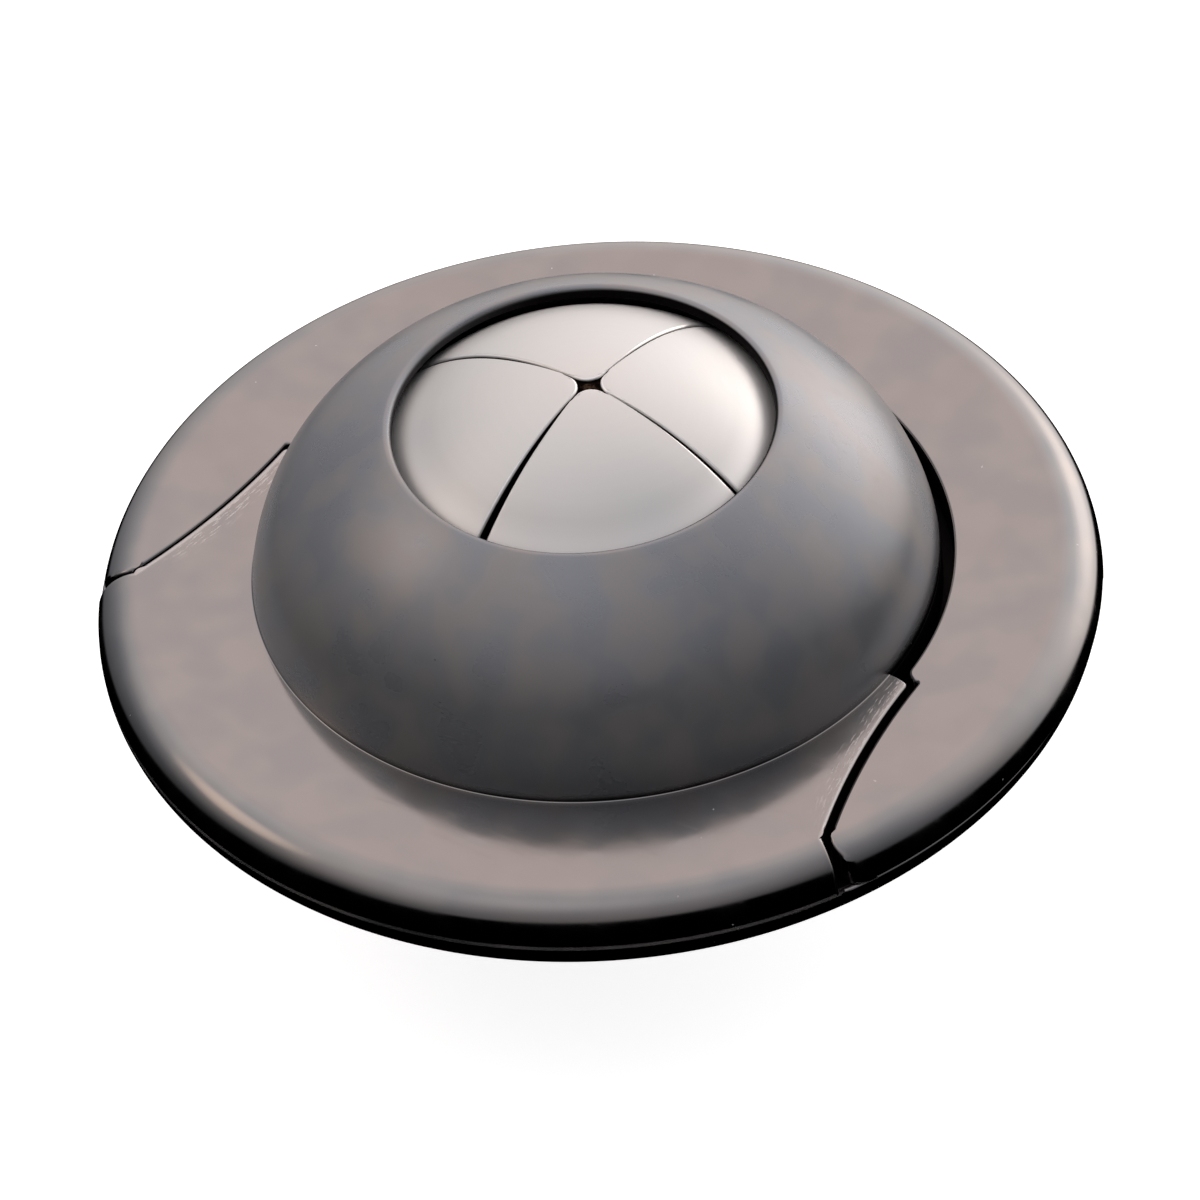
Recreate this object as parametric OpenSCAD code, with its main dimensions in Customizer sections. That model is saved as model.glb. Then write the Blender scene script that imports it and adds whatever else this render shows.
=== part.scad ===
// Saucer-shaped take-apart puzzle: two identical interlocking cast shells hold a ball that is
// split into four petals. Millimetres, +Z up, origin at the centre of the ball.
// +X is the half-turn axis that carries one shell onto the other, +Y is the way they slide.

/* [Disc] */
// Diameter over the rim
disc_d = 60; // [58:1:66]
// Thickness of the flat flange, which ends in a full-round rim
flange_t = 5.2; // [4.6:0.2:5.6]

/* [Dome] */
// Diameter of each dome at its widest
dome_d = 41.2; // [40:0.4:42]
// Height of a dome's outer curve above the parting plane
dome_h = 16.9; // [16.5:0.1:17.4]
// Height of the dome's widest level above the parting plane
dome_waist = 1.4; // [0.8:0.1:2]
// Diameter of the round window at the top of each dome
window_d = 22.7; // [21:0.1:23.5]

/* [Ball] */
// Diameter of the ball that the petals make up
ball_d = 34.4; // [34:0.1:34.8]
// Radial play between the ball and its cavity
ball_play = 0.35; // [0.25:0.05:0.5]
// Angle that each petal spans about the pole
petal_span = 88.7; // [88:0.1:88.8]
// Radius that rounds each petal's edge along the pole
pole_round = 1.15; // [0.5:0.05:1.5]
// How far the ball is turned about the upright from the shells' own axes
ball_turn = -3.4; // [-180:0.2:180]
// How far the back half of the ball is twisted about the axis across its split
back_twist = 2.8; // [-180:0.2:180]
// How far the front half is twisted about the same axis
front_twist = 1.4; // [-180:0.2:180]
// Opening of the seam between the right-hand petals, in degrees about the pole
right_opening = 1; // [0.6:0.1:1]
// Opening of the seam between the back petals, in degrees about the pole
back_opening = 0.6; // [0.3:0.1:0.8]

/* [Interlock] */
// Distance from the centre to the seam where it leaves the dome
seam_reach = 22.05; // [21.8:0.05:22.6]
// Radius of the curved stretch of the seam
seam_bend_r = 46; // [40:1:60]
// How far a horn reaches past the middle of the disc
horn_reach = 13.7; // [11:0.1:15]
// Slope of the seam from the horn's corner out to the rim
horn_slope = 36; // [30:1:42]
// Radius that rounds the horn's tip
horn_round = 1.5; // [0.8:0.1:2]
// Width of the seam with the shells centred on each other
seam_gap = 0.3; // [0.24:0.02:0.4]
// Gap between the shells on the parting plane
parting_gap = 0.1; // [0.06:0.02:0.2]
// Gap between a dome and the other shell's flange
moat = 0.6; // [0.4:0.05:0.8]
// How far the upper shell sits off to one side of the lower one, within the seam's play
side_slip = 0.18; // [0:0.02:0.2]

/* [Hidden] */
$fn = 120;
// Facets on the long curves, the ball and cavity, and the small roundings
fine = 360;
medium = 180;
coarse = 48;

disc_r = disc_d / 2;
dome_r = dome_d / 2;
ball_r = ball_d / 2;
cavity_r = ball_r + ball_play;
rim_r = flange_t / 2;
rim_centre_r = disc_r - rim_r;
ring_r = dome_r + moat;
// The flange runs this far into the dome's wall, so that the two are one casting
root_depth = 1;
// A length that clears the whole part, for cutting shapes
reach = disc_d;

dark_nickel = [0.42, 0.40, 0.40];
satin_nickel = [0.80, 0.78, 0.75];

// The ball splits along an upright plane. These are the angles about the pole at which the
// petals start, from the split on the right-hand side, with split_play left at the split.
split_play = 0.1;
back_right_start = right_opening - split_play;
back_left_start = back_right_start + petal_span + back_opening;
front_left_start = 180 + split_play;
front_right_start = 360 - split_play - petal_span;

// ---- the seam in plan, on the +X side ----

bend_centre_x = seam_reach + seam_bend_r;
horn_corner = [bend_centre_x - sqrt(pow(seam_bend_r, 2) - pow(horn_reach, 2)), -horn_reach];

// The disc that bounds the horn on its inner side, with its edge moved out by grow
module bend_disc(grow) {
    translate([bend_centre_x, 0]) circle(r = seam_bend_r + grow, $fn = fine);
}

// Everything behind the sloping stretch of the seam, with its edge moved out by grow
module behind_slope(grow) {
    translate(horn_corner) rotate(-horn_slope) translate([-reach, -grow]) square([2 * reach, 2 * reach]);
}

// One horn with a rounded tip: tip_centre lies horn_round inside both of its edges
half_gap = seam_gap / 2;
tip_bend_r = seam_bend_r - half_gap - horn_round;
slope_normal = [sin(horn_slope), cos(horn_slope)];
slope_along = [cos(horn_slope), -sin(horn_slope)];
slope_depth = half_gap + horn_round;
// Vector from the bend's centre to the foot of the line that the tip's centre lies on
foot = horn_corner + slope_depth * slope_normal - [bend_centre_x, 0];
foot_along = foot * slope_along;
tip_step = -foot_along - sqrt(pow(foot_along, 2) - foot * foot + pow(tip_bend_r, 2));
tip_centre = [bend_centre_x, 0] + foot + tip_step * slope_along;
tip_on_bend = [bend_centre_x, 0] + (tip_centre - [bend_centre_x, 0]) * (seam_bend_r - half_gap) / tip_bend_r;
tip_on_slope = tip_centre - horn_round * slope_normal;

module horn_plan() {
    difference() {
        intersection() {
            bend_disc(-half_gap);
            behind_slope(-half_gap);
        }
        polygon([tip_centre, tip_on_bend, 2 * horn_corner - tip_centre, tip_on_slope]);
    }
    translate(tip_centre) circle(r = horn_round, $fn = coarse);
}

// Plan of a shell's flange on its own side of the parting plane, in front of the seam
module front_plan() {
    difference() {
        translate([-reach, -reach - seam_gap]) square([2 * reach, reach]);
        for (side = [0, 1]) mirror([side, 0]) intersection() {
            bend_disc(half_gap);
            behind_slope(half_gap);
        }
    }
}

// Plan of a shell's flange beyond the parting plane: its own half and the two horns
module far_plan() {
    mirror([0, 1]) {
        translate([-reach, 0]) square([2 * reach, reach]);
        for (side = [0, 1]) mirror([side, 0]) horn_plan();
    }
}

// ---- the shell ----

module flange_ring(inner_r) {
    rotate_extrude($fn = fine) {
        translate([inner_r, -rim_r]) square([rim_centre_r - inner_r, flange_t]);
        intersection() {
            translate([rim_centre_r, 0]) circle(r = rim_r, $fn = coarse);
            translate([rim_centre_r, -rim_r]) square([flange_t, flange_t]);
        }
    }
}

// The dome's wall: an oval outside, a ball socket inside and a straight window bore
module dome() {
    rotate_extrude($fn = fine) difference() {
        intersection() {
            union() {
                translate([0, dome_waist]) scale([1, (dome_h - dome_waist) / dome_r]) circle(r = dome_r, $fn = medium);
                square([dome_r, dome_waist]);
            }
            translate([window_d / 2, parting_gap / 2]) square([dome_r, dome_h]);
        }
        circle(r = cavity_r, $fn = medium);
    }
}

module shell() {
    dome();
    intersection() {
        flange_ring(dome_r - root_depth);
        translate([0, 0, parting_gap / 2]) linear_extrude(flange_t) front_plan();
    }
    intersection() {
        flange_ring(ring_r);
        translate([0, 0, -parting_gap / 2]) linear_extrude(flange_t) front_plan();
    }
    intersection() {
        flange_ring(ring_r);
        translate([0, 0, -flange_t - parting_gap / 2]) linear_extrude(flange_t) far_plan();
    }
}

module upper_shell() {
    color(dark_nickel) translate([-side_slip / 2, 0, 0]) shell();
}

module lower_shell() {
    color(dark_nickel) translate([side_slip / 2, 0, 0]) rotate([180, 0, 0]) shell();
}

// ---- the ball ----

// Plan of a petal that starts on +X, its edge at the pole rounded
module petal_plan() {
    near_side = [1, 0];
    middle = [cos(petal_span / 2), sin(petal_span / 2)];
    far_side = [cos(petal_span), sin(petal_span)];
    edge_run = pole_round / tan(petal_span / 2);
    round_centre = pole_round / sin(petal_span / 2) * middle;
    polygon([
        round_centre,
        edge_run * near_side,
        ball_d * near_side,
        ball_d / cos(petal_span / 2) * middle,
        ball_d * far_side,
        edge_run * far_side
    ]);
    translate(round_centre) circle(r = pole_round, $fn = coarse);
}

module petal(start, twist) {
    color(satin_nickel) rotate(ball_turn) rotate([0, twist, 0]) intersection() {
        sphere(r = ball_r, $fn = medium);
        rotate(start) translate([0, 0, -ball_d]) linear_extrude(2 * ball_d) petal_plan();
    }
}

module petal_front_right() { petal(front_right_start, front_twist); }
module petal_back_right() { petal(back_right_start, back_twist); }
module petal_back_left() { petal(back_left_start, back_twist); }
module petal_front_left() { petal(front_left_start, front_twist); }

upper_shell();
lower_shell();
petal_front_right();
petal_back_right();
petal_back_left();
petal_front_left();
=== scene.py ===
"""Looks for the interlocking disc puzzle: two dark nickel shells round a satin ball of four petals."""
import math

import bmesh
import bpy
from mathutils import Matrix, Vector


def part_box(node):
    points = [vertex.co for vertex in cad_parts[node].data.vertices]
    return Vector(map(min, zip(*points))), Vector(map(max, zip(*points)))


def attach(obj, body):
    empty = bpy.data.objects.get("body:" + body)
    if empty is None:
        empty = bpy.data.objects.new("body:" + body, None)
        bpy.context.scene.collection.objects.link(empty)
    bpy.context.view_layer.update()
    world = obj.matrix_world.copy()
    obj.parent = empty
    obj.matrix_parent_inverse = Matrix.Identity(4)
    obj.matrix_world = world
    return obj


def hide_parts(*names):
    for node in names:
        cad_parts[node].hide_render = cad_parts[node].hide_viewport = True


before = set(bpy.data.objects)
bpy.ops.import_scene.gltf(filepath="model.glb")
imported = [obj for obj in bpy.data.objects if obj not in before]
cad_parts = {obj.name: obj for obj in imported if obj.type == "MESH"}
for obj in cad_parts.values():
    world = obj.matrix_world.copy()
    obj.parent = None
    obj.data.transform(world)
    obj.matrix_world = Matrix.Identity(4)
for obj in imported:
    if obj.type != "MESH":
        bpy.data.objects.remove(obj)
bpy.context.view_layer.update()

# ---- sizes, in millimetres, as the CAD model has them ----

MM = 0.001
upper_low, upper_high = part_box("upper_shell")
ball_low, ball_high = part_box("petal_back_right")

DISC_R = round((upper_high.x - upper_low.x) / 2 / MM, 2)
RIM_R = round(-upper_low.z / MM, 2)
BALL_R = round(ball_high.z / MM, 1)
SIDE_SLIP = round((upper_high.x + upper_low.x) / 2 / MM, 2)
RIM_CENTRE_R = DISC_R - RIM_R

DOME_R = 20.6
DOME_WAIST = 1.4
DOME_RISE = 15.5
WINDOW_R = 11.35
LIP_ROUND = 0.35
CAVITY_R = BALL_R + 0.35
RING_R = DOME_R + 0.6
PARTING = 0.05

SEAM_REACH = 22.05
BEND_R = 46.0
HORN_REACH = 13.7
HORN_SLOPE = math.radians(36)
HORN_ROUND = 1.5
HALF_GAP = 0.15
TONGUE_ROUND = 0.4
TONGUE_Y = -2 * HALF_GAP

# Widths of the rounded edges
SEAM_EDGE = 0.2
CREASE_EDGE = 0.08
LEDGE_EDGE = 0.3
PETAL_EDGE = 0.2
# Corners rounded in plan: where the ring meets the seam, the horn's outer end and its root
RING_ROUND = 0.8
HORN_END_ROUND = 1.6
HORN_ROOT_ROUND = 0.2

PETAL_SPAN = math.radians(88.7)
POLE_ROUND = 1.15
BALL_TURN = math.radians(-3.4)
BACK_TWIST = math.radians(2.8)
FRONT_TWIST = math.radians(1.4)
SPLIT_PLAY = math.radians(0.1)
RIGHT_OPENING = math.radians(1.0)
BACK_OPENING = math.radians(0.6)


# ---- mesh building ----

# Points that agree to this many decimals of a millimetre are one vertex
POINT_DIGITS = 5
EDGE_SEGMENTS = 4
MERGE_LENGTH = 1e-4
# Edges that bend by more than this are drawn sharp
SHARP_BEND = math.radians(35)


class Builder:
    """Faces between points in millimetres, turned into one closed mesh in metres."""

    def __init__(self, mirrored=False):
        self.bm = bmesh.new()
        self.points = {}
        self.mirrored = mirrored
        self.rounded = []

    def vertex(self, point):
        key = tuple(round(c, POINT_DIGITS) + 0.0 for c in point)
        if key not in self.points:
            self.points[key] = self.bm.verts.new(Vector(key) * MM)
        return self.points[key]

    def sides(self, points):
        """The points as given and, on a mirrored builder, reflected in the plane X = 0."""
        yield list(points)
        if self.mirrored:
            yield [(-x, y, z) for x, y, z in reversed(points)]

    def face(self, points):
        for side in self.sides(points):
            ring = []
            for point in side:
                v = self.vertex(point)
                if v not in ring:
                    ring.append(v)
            if len(ring) > 2 and not self.bm.faces.get(ring):
                self.bm.faces.new(ring)

    def grid(self, rows):
        for low, high in zip(rows, rows[1:]):
            for i in range(len(low) - 1):
                self.face([low[i], low[i + 1], high[i + 1], high[i]])

    def round_off(self, path, width):
        """Remembers the edges along a path, to be rounded off by width when the mesh is finished."""
        for side in self.sides(path):
            for a, b in zip(side, side[1:]):
                va, vb = self.vertex(a), self.vertex(b)
                if va is not vb:
                    self.rounded.append((va, vb, width))

    def finish(self, name, ball_r=None):
        """The finished mesh, with no point outside a ball of radius ball_r if that is given."""
        bm = self.bm
        bmesh.ops.recalc_face_normals(bm, faces=bm.faces)
        for width in sorted({w for _, _, w in self.rounded}):
            ends = [(a, b) for a, b, w in self.rounded if w == width and a.is_valid and b.is_valid]
            edges = [e for e in {bm.edges.get(pair) for pair in ends} if e is not None]
            bmesh.ops.bevel(bm, geom=edges, offset=width * MM, offset_type="OFFSET", segments=EDGE_SEGMENTS,
                            profile=0.5, affect="EDGES", clamp_overlap=False)
        bmesh.ops.dissolve_degenerate(bm, dist=MERGE_LENGTH * MM, edges=bm.edges)
        for v in bm.verts:
            if ball_r and v.co.length > ball_r * MM:
                v.co = v.co.normalized() * ball_r * MM
        for f in bm.faces:
            f.smooth = True
        for e in bm.edges:
            e.smooth = e.calc_face_angle(0) < SHARP_BEND
        mesh = bpy.data.meshes.new(name)
        bm.to_mesh(mesh)
        bm.free()
        return mesh


def spread(start, end, count):
    """Values from start to end in this many equal steps."""
    return [start + (end - start) * i / count for i in range(count + 1)]


def polar(radius, angle, z):
    """Point at this radius and angle round the upright axis."""
    return (radius * math.cos(angle), radius * math.sin(angle), z)


# ---- the seam in plan, on the +X side ----

BEND = Vector((SEAM_REACH + BEND_R, 0))
CORNER = Vector((BEND.x - math.sqrt(BEND_R ** 2 - HORN_REACH ** 2), -HORN_REACH))
ALONG = Vector((math.cos(HORN_SLOPE), -math.sin(HORN_SLOPE)))
ACROSS = Vector((math.sin(HORN_SLOPE), math.cos(HORN_SLOPE)))


def on_bend(radius, grow):
    """Where the circle of this radius about the origin meets the bend, moved out by grow."""
    x = (radius ** 2 + BEND.x ** 2 - (BEND_R + grow) ** 2) / (2 * BEND.x)
    return Vector((x, -math.sqrt(max(radius ** 2 - x ** 2, 0))))


def slide(base, radius, way):
    """Where the line from base along the slope meets the circle of this radius, ahead (1) or behind (-1)."""
    along = base.dot(ALONG)
    return base + ALONG * (way * math.sqrt(along ** 2 - base.length_squared + radius ** 2) - along)


def on_slope(radius, grow):
    """Where the circle of this radius about the origin meets the sloping stretch, moved out by grow."""
    return slide(CORNER - ACROSS * grow, radius, 1)


def on_round(radius, centre, size):
    """Where that circle meets a small one, on the side nearer the seam's corner."""
    toward = centre.normalized()
    side = Vector((toward.y, -toward.x))
    along = (radius ** 2 + centre.length_squared - size ** 2) / (2 * centre.length)
    off = math.sqrt(max(radius ** 2 - along ** 2, 0))
    return min((toward * along + side * off, toward * along - side * off), key=lambda p: (p - CORNER).length)


# The pocket's corner, and the centres of the horn's rounded tip and outer end with where they meet its edges
POCKET_CORNER = BEND + slide(CORNER - ACROSS * HALF_GAP - BEND, BEND_R + HALF_GAP, -1)
TIP_R = BEND_R - HALF_GAP - HORN_ROUND
TIP = BEND + slide(CORNER + ACROSS * (HALF_GAP + HORN_ROUND) - BEND, TIP_R, -1)
TIP_ON_BEND = BEND + (TIP - BEND).normalized() * (BEND_R - HALF_GAP)
TIP_ON_SLOPE = TIP - ACROSS * HORN_ROUND
HORN_END = slide(CORNER + ACROSS * (HALF_GAP + HORN_END_ROUND), DISC_R - HORN_END_ROUND, 1)
END_ON_SLOPE = HORN_END - ACROSS * HORN_END_ROUND


def pocket_edge(radius):
    """The edge of this shell's flange where the other shell's horn lies on it."""
    if radius < POCKET_CORNER.length:
        return on_bend(radius, HALF_GAP)
    return on_slope(radius, HALF_GAP)


def horn_edge(radius):
    """The outline of a horn: the bend, the rounded tip, the slope and the rounded outer end."""
    if radius < TIP_ON_BEND.length:
        return on_bend(radius, -HALF_GAP)
    if radius < TIP_ON_SLOPE.length:
        return on_round(radius, TIP, HORN_ROUND)
    if radius < END_ON_SLOPE.length:
        return on_slope(radius, -HALF_GAP)
    return on_round(radius, HORN_END, HORN_END_ROUND)


def bend_at(y, grow):
    """Where the bend, moved out by grow, passes this y."""
    return Vector((BEND.x - math.sqrt((BEND_R + grow) ** 2 - y ** 2), y))


# ---- the shell ----

# Facets along each stretch
RIM_ROWS = 14
FRONT_COLUMNS = 72
HORN_COLUMNS = 64
SEAM_STEPS = 30
DOME_FRONT_COLUMNS = 96
DOME_BACK_COLUMNS = 97
DOME_ROWS = 40
SKIRT_ROWS = 3
LIP_STEPS = 8
TONGUE_STEPS = 6
ROOT_STEPS = 5
RING_INNER_STEPS = 4
RING_OUTER_STEPS = 8
# Halvings of the range in which the lip's centre is looked for
HALVINGS = 60


def quarter(centre, radius, count):
    """Quarter of a circle in plan, from its +Y side round to its +X side."""
    return [centre + radius * Vector((math.sin(t), math.cos(t))) for t in spread(0, math.pi / 2, count)]


def rim_radius(turn):
    """Radius of the rim's round section, this far round it from its top or bottom."""
    return RIM_CENTRE_R + RIM_R * math.sin(turn)


def dome_profile():
    """Outer curve of the dome from the lip's rounding to the crease, then down to the parting plane."""
    def oval(t, inset=0.0):
        """Point of the dome's oval, moved in by inset, and the way it faces."""
        normal = Vector((math.cos(t) / DOME_R, math.sin(t) / DOME_RISE)).normalized()
        point = Vector((DOME_R * math.cos(t), DOME_WAIST + DOME_RISE * math.sin(t)))
        return point - normal * inset, normal

    low, high = 0.0, math.pi / 2
    for _ in range(HALVINGS):
        middle = (low + high) / 2
        if oval(middle, LIP_ROUND)[0].x > WINDOW_R + LIP_ROUND:
            low = middle
        else:
            high = middle
    centre, normal = oval(low, LIP_ROUND)
    start = math.atan2(normal.y, normal.x)
    lip = [centre + LIP_ROUND * Vector((math.cos(a), math.sin(a))) for a in spread(math.pi, start, LIP_STEPS)]
    crease = math.asin((RIM_R - DOME_WAIST) / DOME_RISE)
    outer = [oval(t)[0] for t in spread(low, crease, DOME_ROWS)][1:]
    skirt = [oval(t)[0] for t in spread(crease, 0.0, SKIRT_ROWS)] + [Vector((DOME_R, PARTING))]
    return lip + outer, skirt


def shell_mesh(name):
    """The upper shell, centred. It is built for X >= 0 and reflected."""
    b = Builder(mirrored=True)
    front = -math.pi / 2
    back = math.pi / 2
    profile, skirt = dome_profile()
    crease_r = profile[-1].x
    tongue_end = math.asin(TONGUE_Y / crease_r)
    round_centre = Vector((math.sqrt((RING_R + RING_ROUND) ** 2 - RING_ROUND ** 2), -RING_ROUND))
    ring_end = math.atan2(round_centre.y, round_centre.x)
    tongue_turn = math.asin((TONGUE_Y + RING_ROUND) / RING_ROUND)

    def around(turns):
        """Points round the corner where the ring meets the seam."""
        return [round_centre + RING_ROUND * Vector((-math.cos(t), math.sin(t))) for t in turns]

    # dome, window and cavity
    columns = spread(front, tongue_end, DOME_FRONT_COLUMNS) + spread(tongue_end, back, DOME_BACK_COLUMNS)[1:]
    b.grid([[polar(p.x, a, p.y) for a in columns] for p in profile])
    b.grid([[polar(p.x, a, p.y) for a in columns[DOME_FRONT_COLUMNS:]] for p in skirt])
    bore_foot = math.acos(WINDOW_R / CAVITY_R)
    cavity = [Vector((CAVITY_R * math.cos(t), CAVITY_R * math.sin(t)))
              for t in spread(bore_foot, math.asin(PARTING / CAVITY_R), DOME_ROWS)]
    b.grid([[polar(p.x, a, p.y) for a in columns] for p in [profile[0]] + cavity])

    # seam outlines in plan: first over the flat, then over the rim's rounding
    parting_angle = math.acos(-PARTING / RIM_R)
    rise = spread(0.0, parting_angle, RIM_ROWS)
    fall = spread(math.pi, parting_angle, RIM_ROWS)
    flat_end = pocket_edge(RIM_CENTRE_R).y
    tip = bend_at(TONGUE_Y, HALF_GAP)
    tongue = Vector((tip.x - TONGUE_ROUND, TONGUE_Y - TONGUE_ROUND))
    pocket_flat = (quarter(tongue, TONGUE_ROUND, TONGUE_STEPS)[:-1]
                   + [bend_at(y, HALF_GAP) for y in spread(tongue.y, flat_end, SEAM_STEPS)])
    root = bend_at(0, -HALF_GAP) - Vector((HORN_ROOT_ROUND, HORN_ROOT_ROUND))
    horn_flat = (quarter(root, HORN_ROOT_ROUND, ROOT_STEPS)[:-1]
                 + [bend_at(y, -HALF_GAP) for y in spread(root.y, horn_edge(RIM_CENTRE_R).y, SEAM_STEPS)])
    pocket_rim = [pocket_edge(rim_radius(a)) for a in rise]
    horn_rim = [horn_edge(rim_radius(a)) for a in fall]

    def at(points, z):
        """Points of a plan, at this height."""
        return [(p.x, p.y, z) for p in points]

    def flipped(points, z):
        """The same, reflected in the plane Y = 0, for the half below the parting plane."""
        return [(p.x, -p.y, z) for p in points]

    # rim, above and below the parting plane
    upper_rim = [[polar(rim_radius(a), t, RIM_R * math.cos(a))
                  for t in spread(front, math.atan2(p.y, p.x), FRONT_COLUMNS)]
                 for a, p in zip(rise, pocket_rim)]
    rim_turn = math.atan2(pocket_rim[-1].y, pocket_rim[-1].x)
    lower_rim = [[polar(rim_radius(a), t, RIM_R * math.cos(a))
                  for t in spread(front, rim_turn, FRONT_COLUMNS)
                  + spread(rim_turn, math.atan2(-p.y, p.x), HORN_COLUMNS)[1:]] for a, p in zip(fall, horn_rim)]
    b.grid(upper_rim)
    b.grid(lower_rim)

    # flat of the flange on top
    crease = [polar(crease_r, a, RIM_R) for a in columns[:DOME_FRONT_COLUMNS + 1]]
    b.face(crease + at(pocket_flat, RIM_R) + upper_rim[0][::-1])

    # wall of the pocket and the tongue's end
    pocket_top = (at(pocket_flat, RIM_R)
                  + [(p.x, p.y, RIM_R * math.cos(a)) for a, p in zip(rise, pocket_rim)][1:])
    pocket_foot = at(pocket_flat + pocket_rim[1:], -PARTING)
    b.grid([pocket_top, pocket_foot])
    ring = ([Vector(polar(RING_R, a, 0)).xy for a in spread(front, ring_end, DOME_FRONT_COLUMNS)]
            + around(spread(-ring_end, tongue_turn, RING_INNER_STEPS))[1:])
    ring_tail = around(spread(tongue_turn, math.pi / 2, RING_OUTER_STEPS))[1:]
    ring_foot = at(ring, -PARTING)[-1]
    ring_ceiling = at(ring, PARTING)[-1]
    skirt_edge = [polar(p.x, tongue_end, p.y) for p in skirt]
    b.face(skirt_edge + [ring_ceiling, ring_foot, pocket_foot[0], pocket_top[0]])

    # the ledge that the other shell's horn lies on
    horn_head = flipped(horn_flat, -PARTING) + flipped(horn_rim[1:], -PARTING)
    b.face([ring_foot] + pocket_foot + lower_rim[-1][FRONT_COLUMNS + 1:] + horn_head[::-1]
           + at(ring_tail, -PARTING)[::-1])

    # wall of the horn and of the ring
    horn_low = (flipped(horn_flat, -RIM_R)
                + [(p.x, -p.y, RIM_R * math.cos(a)) for a, p in zip(fall, horn_rim)][1:])
    b.grid([horn_head, horn_low])
    b.grid([at(ring, PARTING), at(ring, -PARTING)])
    b.grid([at(ring + ring_tail, z) + [row[0]] for z, row in ((-PARTING, horn_head), (-RIM_R, horn_low))])

    # flat of the flange underneath, and the ceiling that faces the other dome
    ring_low = at(ring + ring_tail, -RIM_R)
    b.face(ring_low + flipped(horn_flat, -RIM_R) + lower_rim[0][::-1])
    b.face([polar(cavity[-1].x, a, PARTING) for a in columns]
           + [polar(DOME_R, a, PARTING) for a in columns[DOME_FRONT_COLUMNS:][::-1]]
           + at(ring, PARTING)[::-1])

    b.round_off(pocket_top, SEAM_EDGE)
    b.round_off([crease[-1], pocket_top[0]], SEAM_EDGE)
    b.round_off(crease, CREASE_EDGE)
    b.round_off(horn_low, SEAM_EDGE)
    b.round_off([horn_low[0], ring_low[-1]] + ring_low[::-1][1:], SEAM_EDGE)
    b.round_off(lower_rim[-1][FRONT_COLUMNS:], LEDGE_EDGE)
    return b.finish(name)


# Facets across a petal and from pole to pole
PETAL_STEPS = 64


def petal_mesh(name, start):
    """One quarter of the ball, its edge along the pole and all its outer edges rounded."""
    b = Builder()
    half = PETAL_SPAN / 2
    away = POLE_ROUND / math.sin(half)
    middle = start + half
    turns = spread(-half, half, PETAL_STEPS)
    inner = [away * math.cos(t) - math.sqrt(max(POLE_ROUND ** 2 - (away * math.sin(t)) ** 2, 0))
             for t in turns]
    lifts = [math.acos(r / BALL_R) for r in inner]
    rows = [[polar(BALL_R * math.cos(s * lift), middle + t, BALL_R * math.sin(s * lift))
             for t, lift in zip(turns, lifts)] for s in spread(1, -1, PETAL_STEPS)]
    b.grid(rows)
    b.grid([rows[0], rows[-1]])
    for i in (0, -1):
        meridian = [row[i] for row in rows]
        b.face(meridian)
        b.round_off(meridian, PETAL_EDGE)
    b.round_off(rows[0], PETAL_EDGE)
    b.round_off(rows[-1], PETAL_EDGE)
    return b.finish(name, ball_r=BALL_R)


# ---- pieces ----

def add_piece(name, mesh, node, material):
    """A piece that rides on a CAD node and replaces it."""
    piece = bpy.data.objects.new(name, mesh)
    bpy.context.scene.collection.objects.link(piece)
    mesh.materials.append(material)
    weighted = piece.modifiers.new("weighted_normals", "WEIGHTED_NORMAL")
    weighted.keep_sharp = True
    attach(piece, node)
    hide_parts(node)
    return piece


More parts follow.
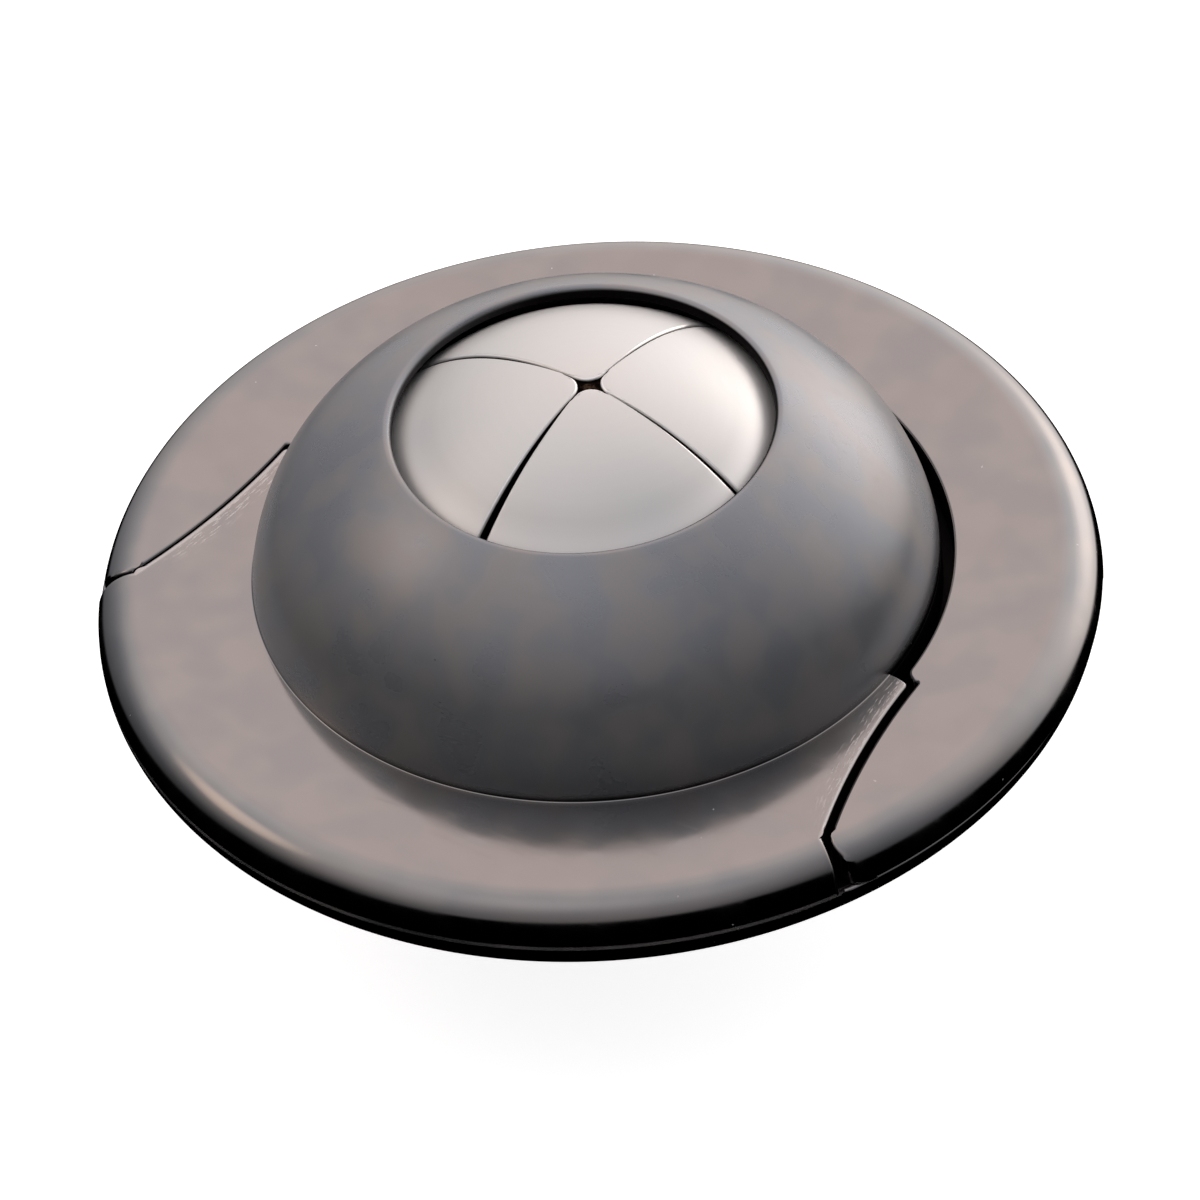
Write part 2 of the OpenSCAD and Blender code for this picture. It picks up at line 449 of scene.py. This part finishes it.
class Nodes:
    """Short ways to add shader nodes to one material. Lengths are in millimetres."""

    def __init__(self, name):
        self.material = bpy.data.materials.new(name)
        self.material.use_nodes = True
        self.tree = self.material.node_tree
        self.shader = self.tree.nodes["Principled BSDF"]
        coordinates = self.tree.nodes.new("ShaderNodeTexCoord")
        self.place = coordinates.outputs["Object"]
        self.facing = coordinates.outputs["Normal"]

    def put(self, value, socket):
        """Links a value to a socket, or sets the socket to it."""
        if isinstance(value, bpy.types.NodeSocket):
            self.tree.links.new(value, socket)
        elif isinstance(value, tuple) and len(socket.default_value) == 4:
            socket.default_value = (*value, 1)
        else:
            socket.default_value = value

    def math(self, operation, first, second=0.0):
        node = self.tree.nodes.new("ShaderNodeMath")
        node.operation = operation
        self.put(first, node.inputs[0])
        self.put(second, node.inputs[1])
        return node.outputs[0]

    def plus(self, first, second):
        return self.math("ADD", first, second)

    def minus(self, first, second):
        return self.math("SUBTRACT", first, second)

    def times(self, first, second):
        return self.math("MULTIPLY", first, second)

    def size(self, value):
        return self.math("ABSOLUTE", value)

    def most(self, first, *others):
        for other in others:
            first = self.math("MAXIMUM", first, other)
        return first

    def hypotenuse(self, first, second):
        return self.math("SQRT", self.plus(self.times(first, first), self.times(second, second)))

    def span(self, value, low, high, start=0.0, end=1.0):
        """Goes smoothly from start to end as value goes from low to high."""
        node = self.tree.nodes.new("ShaderNodeMapRange")
        node.interpolation_type = "SMOOTHSTEP"
        self.put(value, node.inputs["Value"])
        for name, number in (("From Min", low), ("From Max", high), ("To Min", start), ("To Max", end)):
            self.put(number, node.inputs[name])
        return node.outputs[0]

    def reach(self, length, low, high, start=0.0, end=1.0):
        """The same for a length, with low and high in millimetres."""
        return self.span(length, low * MM, high * MM, start, end)

    def stretched(self, factors):
        """Object coordinates, each multiplied by its own factor."""
        node = self.tree.nodes.new("ShaderNodeVectorMath")
        node.operation = "MULTIPLY"
        self.put(self.place, node.inputs[0])
        self.put(factors, node.inputs[1])
        return node.outputs[0]

    def noise(self, where, size, detail=4.0, roughness=0.5):
        """Noise from 0 to 1 with features of this size."""
        node = self.tree.nodes.new("ShaderNodeTexNoise")
        self.put(where, node.inputs["Vector"])
        self.put(1 / (size * MM), node.inputs["Scale"])
        self.put(detail, node.inputs["Detail"])
        self.put(roughness, node.inputs["Roughness"])
        return node.outputs["Fac"]

    def mix(self, factor, first, second):
        node = self.tree.nodes.new("ShaderNodeMix")
        node.data_type = "RGBA"
        self.put(factor, node.inputs["Factor"])
        self.put(first, node.inputs["A"])
        self.put(second, node.inputs["B"])
        return node.outputs["Result"]

    def bump(self, height, depth, under=None):
        """Bump whose height runs from 0 to 1 over this depth, on top of the bump under it."""
        node = self.tree.nodes.new("ShaderNodeBump")
        self.put(depth * MM, node.inputs["Distance"])
        self.put(height, node.inputs["Height"])
        if under:
            self.put(under, node.inputs["Normal"])
        return node.outputs["Normal"]

    def split(self, vector=None):
        """The three parts of a vector, or of the object coordinates."""
        node = self.tree.nodes.new("ShaderNodeSeparateXYZ")
        self.put(vector or self.place, node.inputs[0])
        return node.outputs

    def joined(self, x, y, z):
        node = self.tree.nodes.new("ShaderNodeCombineXYZ")
        for value, socket in zip((x, y, z), node.inputs):
            self.put(value, socket)
        return node.outputs[0]

    def distance(self, x, y, centre):
        """Distance in plan from a centre."""
        return self.hypotenuse(self.minus(x, centre.x * MM), self.minus(y, centre.y * MM))

    def radius(self):
        x, y, _ = self.split()
        return self.hypotenuse(x, y)

    def height(self):
        return self.size(self.split()[2])


# Colours of the dark nickel, its wear with painted highlights, and the near-black of its painted shade
FLANGE_COOL = (0.245, 0.245, 0.248)
FLANGE_WARM = (0.275, 0.268, 0.264)
FLANGE_HAZE = (0.285, 0.265, 0.255)
DOME_COOL = (0.230, 0.243, 0.263)
DOME_WARM = (0.272, 0.264, 0.264)
WORN_NICKEL_AND_HIGHLIGHT = (0.60, 0.58, 0.57)
PAINTED_SHADE_BLACK = (0.006, 0.005, 0.005)
# Colours of the satin nickel, of its painted light near the bore and painted highlights on the edges, of the
# painted shade in the splits, and of the painted shade and painted glints in the pit at the pole
SATIN_COOL = (0.62, 0.625, 0.615)
SATIN_WARM = (0.65, 0.645, 0.63)
PAINTED_LIGHT_SATIN = (0.97, 0.965, 0.95)
EDGE_HIGHLIGHT_SATIN = (0.90, 0.89, 0.87)
SPLIT_SHADE = (0.02, 0.018, 0.016)
PIT_SHADE = (0.04, 0.025, 0.02)
PIT_GLINT = (0.40, 0.26, 0.17)


def seam_marks(n, radius):
    """Masks round the seam: painted shade on its walls, and wear with a painted highlight on the edge of the
    flange beside it.
    """
    x, y, z = n.split()
    far_x = n.size(x)
    own_y = n.times(y, n.math("SIGN", z))
    own_side = n.math("LESS_THAN", own_y, 0.0)
    from_bend = n.minus(n.distance(far_x, own_y, BEND), BEND_R * MM)
    from_slope = n.minus(CORNER.dot(ACROSS) * MM, n.plus(n.times(far_x, ACROSS.x), n.times(own_y, ACROSS.y)))
    from_seam = n.most(from_bend, from_slope)

    upright = n.span(n.size(n.split(n.facing)[2]), 0.6, 0.35)
    # painted shade: near-black on the upright walls beside the seam
    painted_shade = n.times(upright, n.times(n.reach(n.size(from_seam), 0.45, 0.35), own_side))

    beside = n.times(n.reach(from_bend, 1.8, 0.7), n.reach(own_y, -14.0, -8.0))
    strokes = n.noise(n.joined(n.times(from_bend, 7.0), own_y, 0.0), 0.9, 5.0, 0.6)
    scuff = n.times(beside, n.span(strokes, 0.52, 0.64))
    on_flat = n.reach(radius, RIM_CENTRE_R + 0.9, RIM_CENTRE_R, 0.0, 0.8)
    # painted highlight: a lighter band on the flat along the seam's rounded edge
    painted_seam_highlight = n.times(n.reach(from_seam, 0.50, 0.30), on_flat)
    outside = n.times(own_side, n.math("GREATER_THAN", from_seam, HALF_GAP / 2 * MM))
    return painted_shade, n.times(n.most(scuff, painted_seam_highlight), outside)


def shell_metal():
    """Dark nickel: polished flange and rim, tumbled dome, and dull near-black painted shade on the faces in
    the bore, moat, seams and parting gap.
    """
    n = Nodes("dark_nickel")
    radius, height = n.radius(), n.height()
    haze = n.noise(n.place, 9.0)
    smudge = n.noise(n.place, 3.0, 1.0)
    grain = n.noise(n.place, 0.9, 2.0)
    streaks = n.noise(n.stretched((0.15, 1.0, 1.0)), 0.5, 3.0)
    on_dome = n.reach(height, RIM_R, RIM_R + 0.6)

    # painted shade: near-black on the bore wall, in the moat, at the parting gap and on the seam walls
    in_bore = n.times(n.reach(radius, WINDOW_R + 0.18, WINDOW_R + 0.06),
                      n.reach(height, DOME_WAIST, DOME_RISE / 2))
    in_moat = n.times(n.reach(radius, RING_R + 0.16, RING_R + 0.06),
                      n.reach(height, RIM_R - 0.05, RIM_R - 0.35))
    at_parting = n.times(n.reach(height, 0.9, 0.2), n.reach(radius, DISC_R - 0.35, DISC_R - 0.60))
    in_seam, seam_wear_and_highlight = seam_marks(n, radius)
    painted_shade = n.most(in_bore, in_seam, in_moat, at_parting)

    # a painted highlight along the parting line round the rim, and stray specks on the flange
    parting_line_highlight = n.times(n.reach(height, 0.17, 0.09), n.reach(radius, DISC_R - 0.35, DISC_R - 0.22))
    parting_line_highlight = n.times(parting_line_highlight, n.span(haze, 0.35, 0.6, 0.12, 0.25))
    speck = n.times(n.span(n.noise(n.place, 0.5, 1.0), 0.79, 0.84), n.span(on_dome, 0.5, 0.0, 0.0, 0.7))
    # real scuffs and specks, together with the painted highlights, lighten the nickel
    wear_and_highlight = n.most(seam_wear_and_highlight, parting_line_highlight, speck)

    flange = n.mix(n.span(smudge, 0.35, 0.7), FLANGE_COOL, FLANGE_WARM)
    flange = n.mix(n.span(haze, 0.4, 0.7, 0.0, 0.5), flange, FLANGE_HAZE)
    dome = n.mix(n.span(smudge, 0.35, 0.7), DOME_COOL, DOME_WARM)
    tone = n.mix(n.times(wear_and_highlight, 0.75), n.mix(on_dome, flange, dome), WORN_NICKEL_AND_HIGHLIGHT)
    n.put(n.mix(painted_shade, tone, PAINTED_SHADE_BLACK), n.shader.inputs["Base Color"])
    metal = n.minus(1.0, n.most(n.times(on_dome, 0.33), n.times(wear_and_highlight, 0.4)))
    n.put(n.most(metal, painted_shade), n.shader.inputs["Metallic"])

    finish = n.plus(n.span(smudge, 0.3, 0.75, 0.09, 0.17), n.span(streaks, 0.5, 0.8, 0.0, 0.05))
    finish = n.plus(finish, n.times(on_dome, n.span(haze, 0.3, 0.7, 0.15, 0.2)))
    finish = n.plus(finish, n.times(wear_and_highlight, 0.3))
    n.put(n.plus(finish, n.times(painted_shade, 0.4)), n.shader.inputs["Roughness"])

    waves = n.bump(n.noise(n.place, 5.0, 1.0), 0.012)
    n.put(n.bump(grain, 0.0008, waves), n.shader.inputs["Normal"])
    return n.material


def petal_metal():
    """Satin nickel: blasted grain, painted light near the bore, bright painted highlights on the edges,
    painted shade in the splits and painted shade with painted glints down the pit.
    """
    n = Nodes("satin_nickel")
    radius, height = n.radius(), n.height()
    from_centre = n.hypotenuse(radius, height)
    haze = n.noise(n.place, 6.0)
    grain = n.noise(n.place, 0.25, 2.0)
    # painted light: the petals lightened towards the bore's edge, against the shade there
    painted_light_ring = n.reach(radius, 9.0, 10.9, 0.0, 0.6)
    # painted highlight on the rounded edges of the petals
    painted_edge_highlight = n.reach(from_centre, BALL_R - 0.004, BALL_R - 0.02)
    # painted shade on the walls deep in the splits between petals
    in_split = n.reach(from_centre, BALL_R - 0.07, BALL_R - 0.16)
    # painted shade down the pit at the pole
    in_pit = n.times(n.reach(radius, 2.2, 1.6), n.reach(height, BALL_R - 0.25, BALL_R - 0.40))

    tone = n.mix(n.span(haze, 0.3, 0.7), SATIN_COOL, SATIN_WARM)
    tone = n.mix(painted_light_ring, tone, PAINTED_LIGHT_SATIN)
    tone = n.mix(painted_edge_highlight, tone, EDGE_HIGHLIGHT_SATIN)
    tone = n.mix(in_split, tone, SPLIT_SHADE)
    # painted shade in the pit, broken by painted brownish glints of reflection
    pit_shade_and_glints = n.mix(n.span(n.noise(n.place, 0.5, 5.0, 0.7), 0.5, 0.62), PIT_SHADE, PIT_GLINT)
    n.put(n.mix(in_pit, tone, pit_shade_and_glints), n.shader.inputs["Base Color"])
    n.put(n.span(in_pit, 0.0, 1.0, 0.75, 0.1), n.shader.inputs["Metallic"])
    satin = n.span(haze, 0.3, 0.7, 0.44, 0.5)
    n.put(n.minus(satin, n.times(painted_edge_highlight, 0.15)), n.shader.inputs["Roughness"])
    n.put(n.bump(grain, 0.0010, n.bump(n.noise(n.place, 4.0, 1.0), 0.01)), n.shader.inputs["Normal"])
    return n.material


dark_nickel = shell_metal()
satin_nickel = petal_metal()

upper = shell_mesh("upper_shell_skin")
lower = upper.copy()
lower.name = "lower_shell_skin"
upper.transform(Matrix.Translation((SIDE_SLIP * MM, 0, 0)))
lower.transform(Matrix.Translation((-SIDE_SLIP * MM, 0, 0)) @ Matrix.Rotation(math.pi, 4, "X"))
add_piece("upper_shell_skin", upper, "upper_shell", dark_nickel)
add_piece("lower_shell_skin", lower, "lower_shell", dark_nickel)

back_right_start = RIGHT_OPENING - SPLIT_PLAY
PETALS = {
    "petal_back_right": (back_right_start, BACK_TWIST),
    "petal_back_left": (back_right_start + PETAL_SPAN + BACK_OPENING, BACK_TWIST),
    "petal_front_left": (math.pi + SPLIT_PLAY, FRONT_TWIST),
    "petal_front_right": (2 * math.pi - SPLIT_PLAY - PETAL_SPAN, FRONT_TWIST),
}
for node, (start, twist) in PETALS.items():
    mesh = petal_mesh(node + "_skin", start)
    mesh.transform(Matrix.Rotation(BALL_TURN, 4, "Z") @ Matrix.Rotation(twist, 4, "Y"))
    add_piece(node + "_skin", mesh, node, satin_nickel)

# ---- camera ----

VIEW_AZIMUTH = math.radians(35.5)
VIEW_ELEVATION = math.radians(43.5)
VIEW_ROLL = math.radians(-5.35)
VIEW_DISTANCE = 0.7
VIEW_LENS = 351.7
CLIP_NEAR = 0.01
CLIP_FAR = 10
# How far below the ball's centre, as the camera sees it, the camera aims
AIM_DROP = 0.50 * MM


def towards(azimuth, elevation):
    """Unit vector towards the camera for a view from this azimuth, which turns from -Y towards +X."""
    return Vector((math.sin(azimuth) * math.cos(elevation), -math.cos(azimuth) * math.cos(elevation),
                   math.sin(elevation)))


def add_camera():
    camera = bpy.data.objects.new("camera", bpy.data.cameras.new("camera"))
    bpy.context.scene.collection.objects.link(camera)
    camera.data.lens = VIEW_LENS
    camera.data.clip_start = CLIP_NEAR
    camera.data.clip_end = CLIP_FAR
    back = towards(VIEW_AZIMUTH, VIEW_ELEVATION)
    level = Vector((math.cos(VIEW_AZIMUTH), math.sin(VIEW_AZIMUTH), 0))
    upright = back.cross(level)
    right = level * math.cos(VIEW_ROLL) + upright * math.sin(VIEW_ROLL)
    up = upright * math.cos(VIEW_ROLL) - level * math.sin(VIEW_ROLL)
    place = back * VIEW_DISTANCE - up * AIM_DROP
    camera.matrix_world = Matrix.Translation(place) @ Matrix((right, up, back)).transposed().to_4x4()
    bpy.context.scene.camera = camera


add_camera()

# ---- floor and light ----

FLOOR_HALF = 3.0
FLOOR_TONE = (0.9, 0.9, 0.9, 1)
FLOOR_GLOW = 0.8


def add_floor():
    mesh = bpy.data.meshes.new("floor")
    z = -BALL_R * MM
    corners = [(FLOOR_HALF * x, FLOOR_HALF * y, z) for x, y in ((-1, -1), (1, -1), (1, 1), (-1, 1))]
    mesh.from_pydata(corners, [], [(0, 1, 2, 3)])
    floor = bpy.data.objects.new("floor", mesh)
    bpy.context.scene.collection.objects.link(floor)
    material = bpy.data.materials.new("pale_floor")
    material.use_nodes = True
    nodes = material.node_tree.nodes
    shader = nodes["Principled BSDF"]
    shader.inputs["Base Color"].default_value = FLOOR_TONE
    shader.inputs["Roughness"].default_value = 1
    shader.inputs["Emission Color"].default_value = (1, 1, 1, 1)
    shader.inputs["Emission Strength"].default_value = FLOOR_GLOW
    mesh.materials.append(material)
    floor.visible_glossy = False


add_floor()


def sky_direction(side, elevation):
    """Direction this many degrees round from the camera, positive to its right, and up from the horizon."""
    return towards(VIEW_AZIMUTH + math.radians(side), math.radians(elevation))


# Soft panels round the object: side, elevation and half width in degrees, and colour. Seven of the
# eleven began as a least-squares fit to the photo's reflections, and four of those were then adjusted.
PANELS = [
    (150, 20, 75, (0.81, 0.70, 0.62)),
    (135, 5, 50, (0.31, 0.34, 0.38)),
    (135, 5, 30, (0.77, 0.62, 0.51)),
    (165, 50, 110, (0.56, 0.56, 0.61)),
    (180, 44, 24, (0.13, 0.03, 0.01)),
    (-101, 41, 15, (0.95, 0.66, 0.48)),
    (140, 6, 18, (0.6, 0.5, 0.45)),
    (0, 85, 32, (0.14, 0.14, 0.14)),
    (-105, 55, 50, (0.29, 0.25, 0.22)),
    (-120, 50, 30, (0.27, 0.24, 0.22)),
    (-15, 50, 50, (0.26, 0.24, 0.24)),
]
AMBIENT = 0.03
# The dark table, seen from the disc as it leans towards the camera, hides everything below this slope
TABLE_LEAN = 28
TABLE_EDGE = (-0.02, 0.10)


def add_sky():
    world = bpy.data.worlds.new("studio")
    bpy.context.scene.world = world
    world.use_nodes = True
    tree = world.node_tree
    nodes, links = tree.nodes, tree.links
    where = nodes.new("ShaderNodeTexCoord")

    def glow(direction, low, high):
        """Rises softly from 0 to 1 as the cosine of the angle to this direction goes from low to high."""
        facing = nodes.new("ShaderNodeVectorMath")
        facing.operation = "DOT_PRODUCT"
        links.new(where.outputs["Generated"], facing.inputs[0])
        facing.inputs[1].default_value = direction
        fade = nodes.new("ShaderNodeMapRange")
        fade.interpolation_type = "SMOOTHSTEP"
        fade.inputs["From Min"].default_value = low
        fade.inputs["From Max"].default_value = high
        links.new(facing.outputs["Value"], fade.inputs["Value"])
        return fade.outputs[0]

    def blend(kind, factor, first, second):
        """Adds or mixes the second colour into the first by this factor."""
        mix = nodes.new("ShaderNodeMix")
        mix.data_type = "RGBA"
        mix.blend_type = kind
        links.new(factor, mix.inputs["Factor"])
        for value, socket in ((first, mix.inputs["A"]), (second, mix.inputs["B"])):
            if isinstance(value, tuple):
                socket.default_value = (*value, 1)
            else:
                links.new(value, socket)
        return mix.outputs["Result"]

    total = (AMBIENT,) * 3
    for side, elevation, half_width, colour in PANELS:
        panel = glow(sky_direction(side, elevation), math.cos(math.radians(half_width)), 1)
        total = blend("ADD", panel, total, colour)
    above = glow(sky_direction(180, 90 - TABLE_LEAN), *TABLE_EDGE)
    total = blend("MIX", above, (0.0, 0.0, 0.0), total)
    links.new(total, nodes["Background"].inputs["Color"])


add_sky()
bpy.context.scene.view_settings.view_transform = "Standard"
